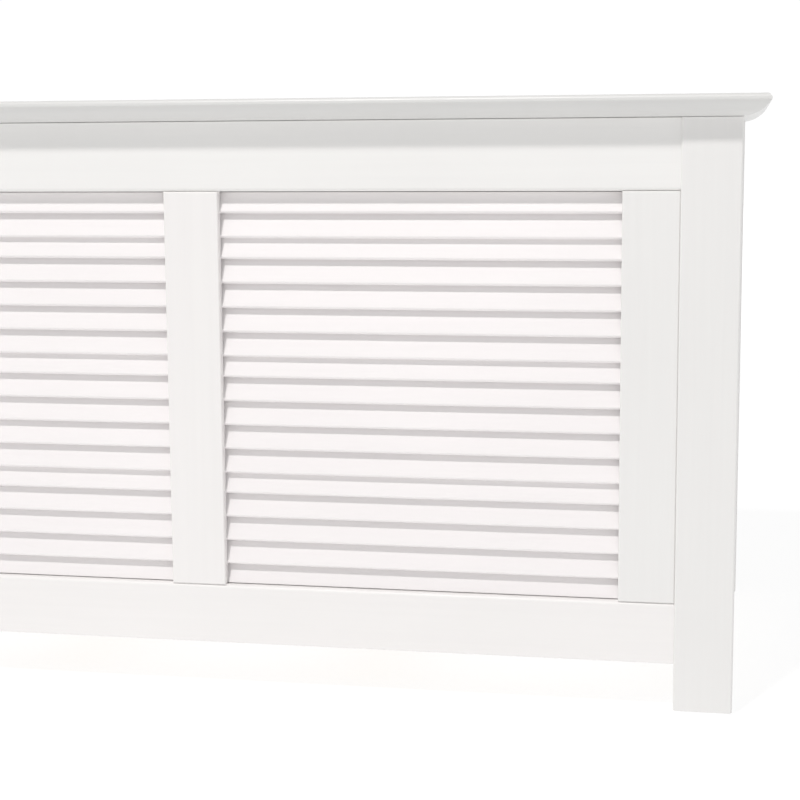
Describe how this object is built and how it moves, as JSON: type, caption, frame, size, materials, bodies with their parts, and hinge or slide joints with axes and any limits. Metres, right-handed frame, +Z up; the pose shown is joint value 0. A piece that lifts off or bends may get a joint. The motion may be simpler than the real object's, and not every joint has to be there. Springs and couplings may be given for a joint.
{
  "type": "toy box",
  "caption": "White painted wooden toy box on corner posts, with louvred front and side panels and a hinged lid with a moulded edge on slotted stays.",
  "frame": {"origin": "centre of the whole footprint, lid and hinge barrels included, on the surface the box stands on", "axes": "+Z up, +X to the right along the width as seen from the front, +Y from the louvred front to the hinged back"},
  "size_m": [0.987, 0.4984, 0.524],
  "materials": {
    "frame_paint": "satin white paint, brushed, eased arrises",
    "louvre_paint": "satin white paint on thin slats",
    "lid_paint": "satin white paint, smooth",
    "panel_paint": "matt white paint on thin board",
    "bare_pine": "planed, unfinished",
    "beech": "fluted dowel, unfinished",
    "zinc": "die cast, bright zinc",
    "screw_steel": "zinc plated",
    "hinge_steel": "satin nickel plated",
    "stay_steel": "satin nickel plated",
    "bumper": "soft, translucent white",
    "glide": "moulded nylon"
  },
  "bodies": {
    "carcass": {"post_front_left": "frame_paint", "post_front_right": "frame_paint", "post_back_left": "frame_paint", "post_back_right": "frame_paint", "front_top_rail": "frame_paint", "front_bottom_rail": "frame_paint", "front_stile_left": "frame_paint", "front_stile_centre": "frame_paint", "front_stile_right": "frame_paint", "left_top_rail": "frame_paint", "left_bottom_rail": "frame_paint", "left_stile_front": "frame_paint", "left_stile_back": "frame_paint", "right_top_rail": "frame_paint", "right_bottom_rail": "frame_paint", "right_stile_front": "frame_paint", "right_stile_back": "frame_paint", "back_top_rail": "frame_paint", "back_bottom_rail": "frame_paint", "back_stile_centre": "frame_paint", "front_louvres_left": "louvre_paint", "front_louvres_right": "louvre_paint", "left_louvres": "louvre_paint", "right_louvres": "louvre_paint", "back_panel_left": "panel_paint", "back_panel_right": "panel_paint", "floor_panel": "panel_paint", "floor_cleats": "bare_pine", "floor_bearers": "bare_pine", "rail_dowels": "beech", "side_dowels": "beech", "stile_dowels": "beech", "cam_locks": "zinc", "cam_pins": "zinc", "hinge_screws_carcass": "screw_steel", "stay_plate_screws": "screw_steel", "cleat_screws": "screw_steel", "hinge_leaves_carcass": "hinge_steel", "hinge_pins": "hinge_steel", "stay_plates": "stay_steel", "stay_studs": "stay_steel", "lid_bumpers": "bumper", "foot_glides": "glide"},
    "lid": {"lid_board": "lid_paint", "lid_battens": "lid_paint", "batten_screws": "screw_steel", "hinge_leaves_lid": "hinge_steel", "hinge_screws_lid": "screw_steel", "stay_brackets": "stay_steel", "stay_rivets": "stay_steel", "stay_bracket_screws": "screw_steel"},
    "stay_left": {"stay_arm_left": "stay_steel"},
    "stay_right": {"stay_arm_right": "stay_steel"}
  },
  "joints": [
    {"name": "lid_hinge", "type": "hinge", "parent": "carcass", "child": "lid", "pos_m": [0, 0.24625, 0.5055], "axis": [-1, 0, 0], "range_deg": [0, 85]},
    {"name": "stay_left_pivot", "type": "hinge", "parent": "lid", "child": "stay_left", "pos_m": [-0.4392, 0.09983, 0.4925], "axis": [-1, 0, 0], "range_deg": [-42.5, 0]},
    {"name": "stay_right_pivot", "type": "hinge", "parent": "lid", "child": "stay_right", "pos_m": [0.4392, 0.09983, 0.4925], "axis": [-1, 0, 0], "range_deg": [-42.5, 0]}
  ],
  "couplings": [
    {"joint": "stay_left_pivot", "follows": "lid_hinge", "ratio": -0.5},
    {"joint": "stay_right_pivot", "follows": "lid_hinge", "ratio": -0.5}
  ]
}
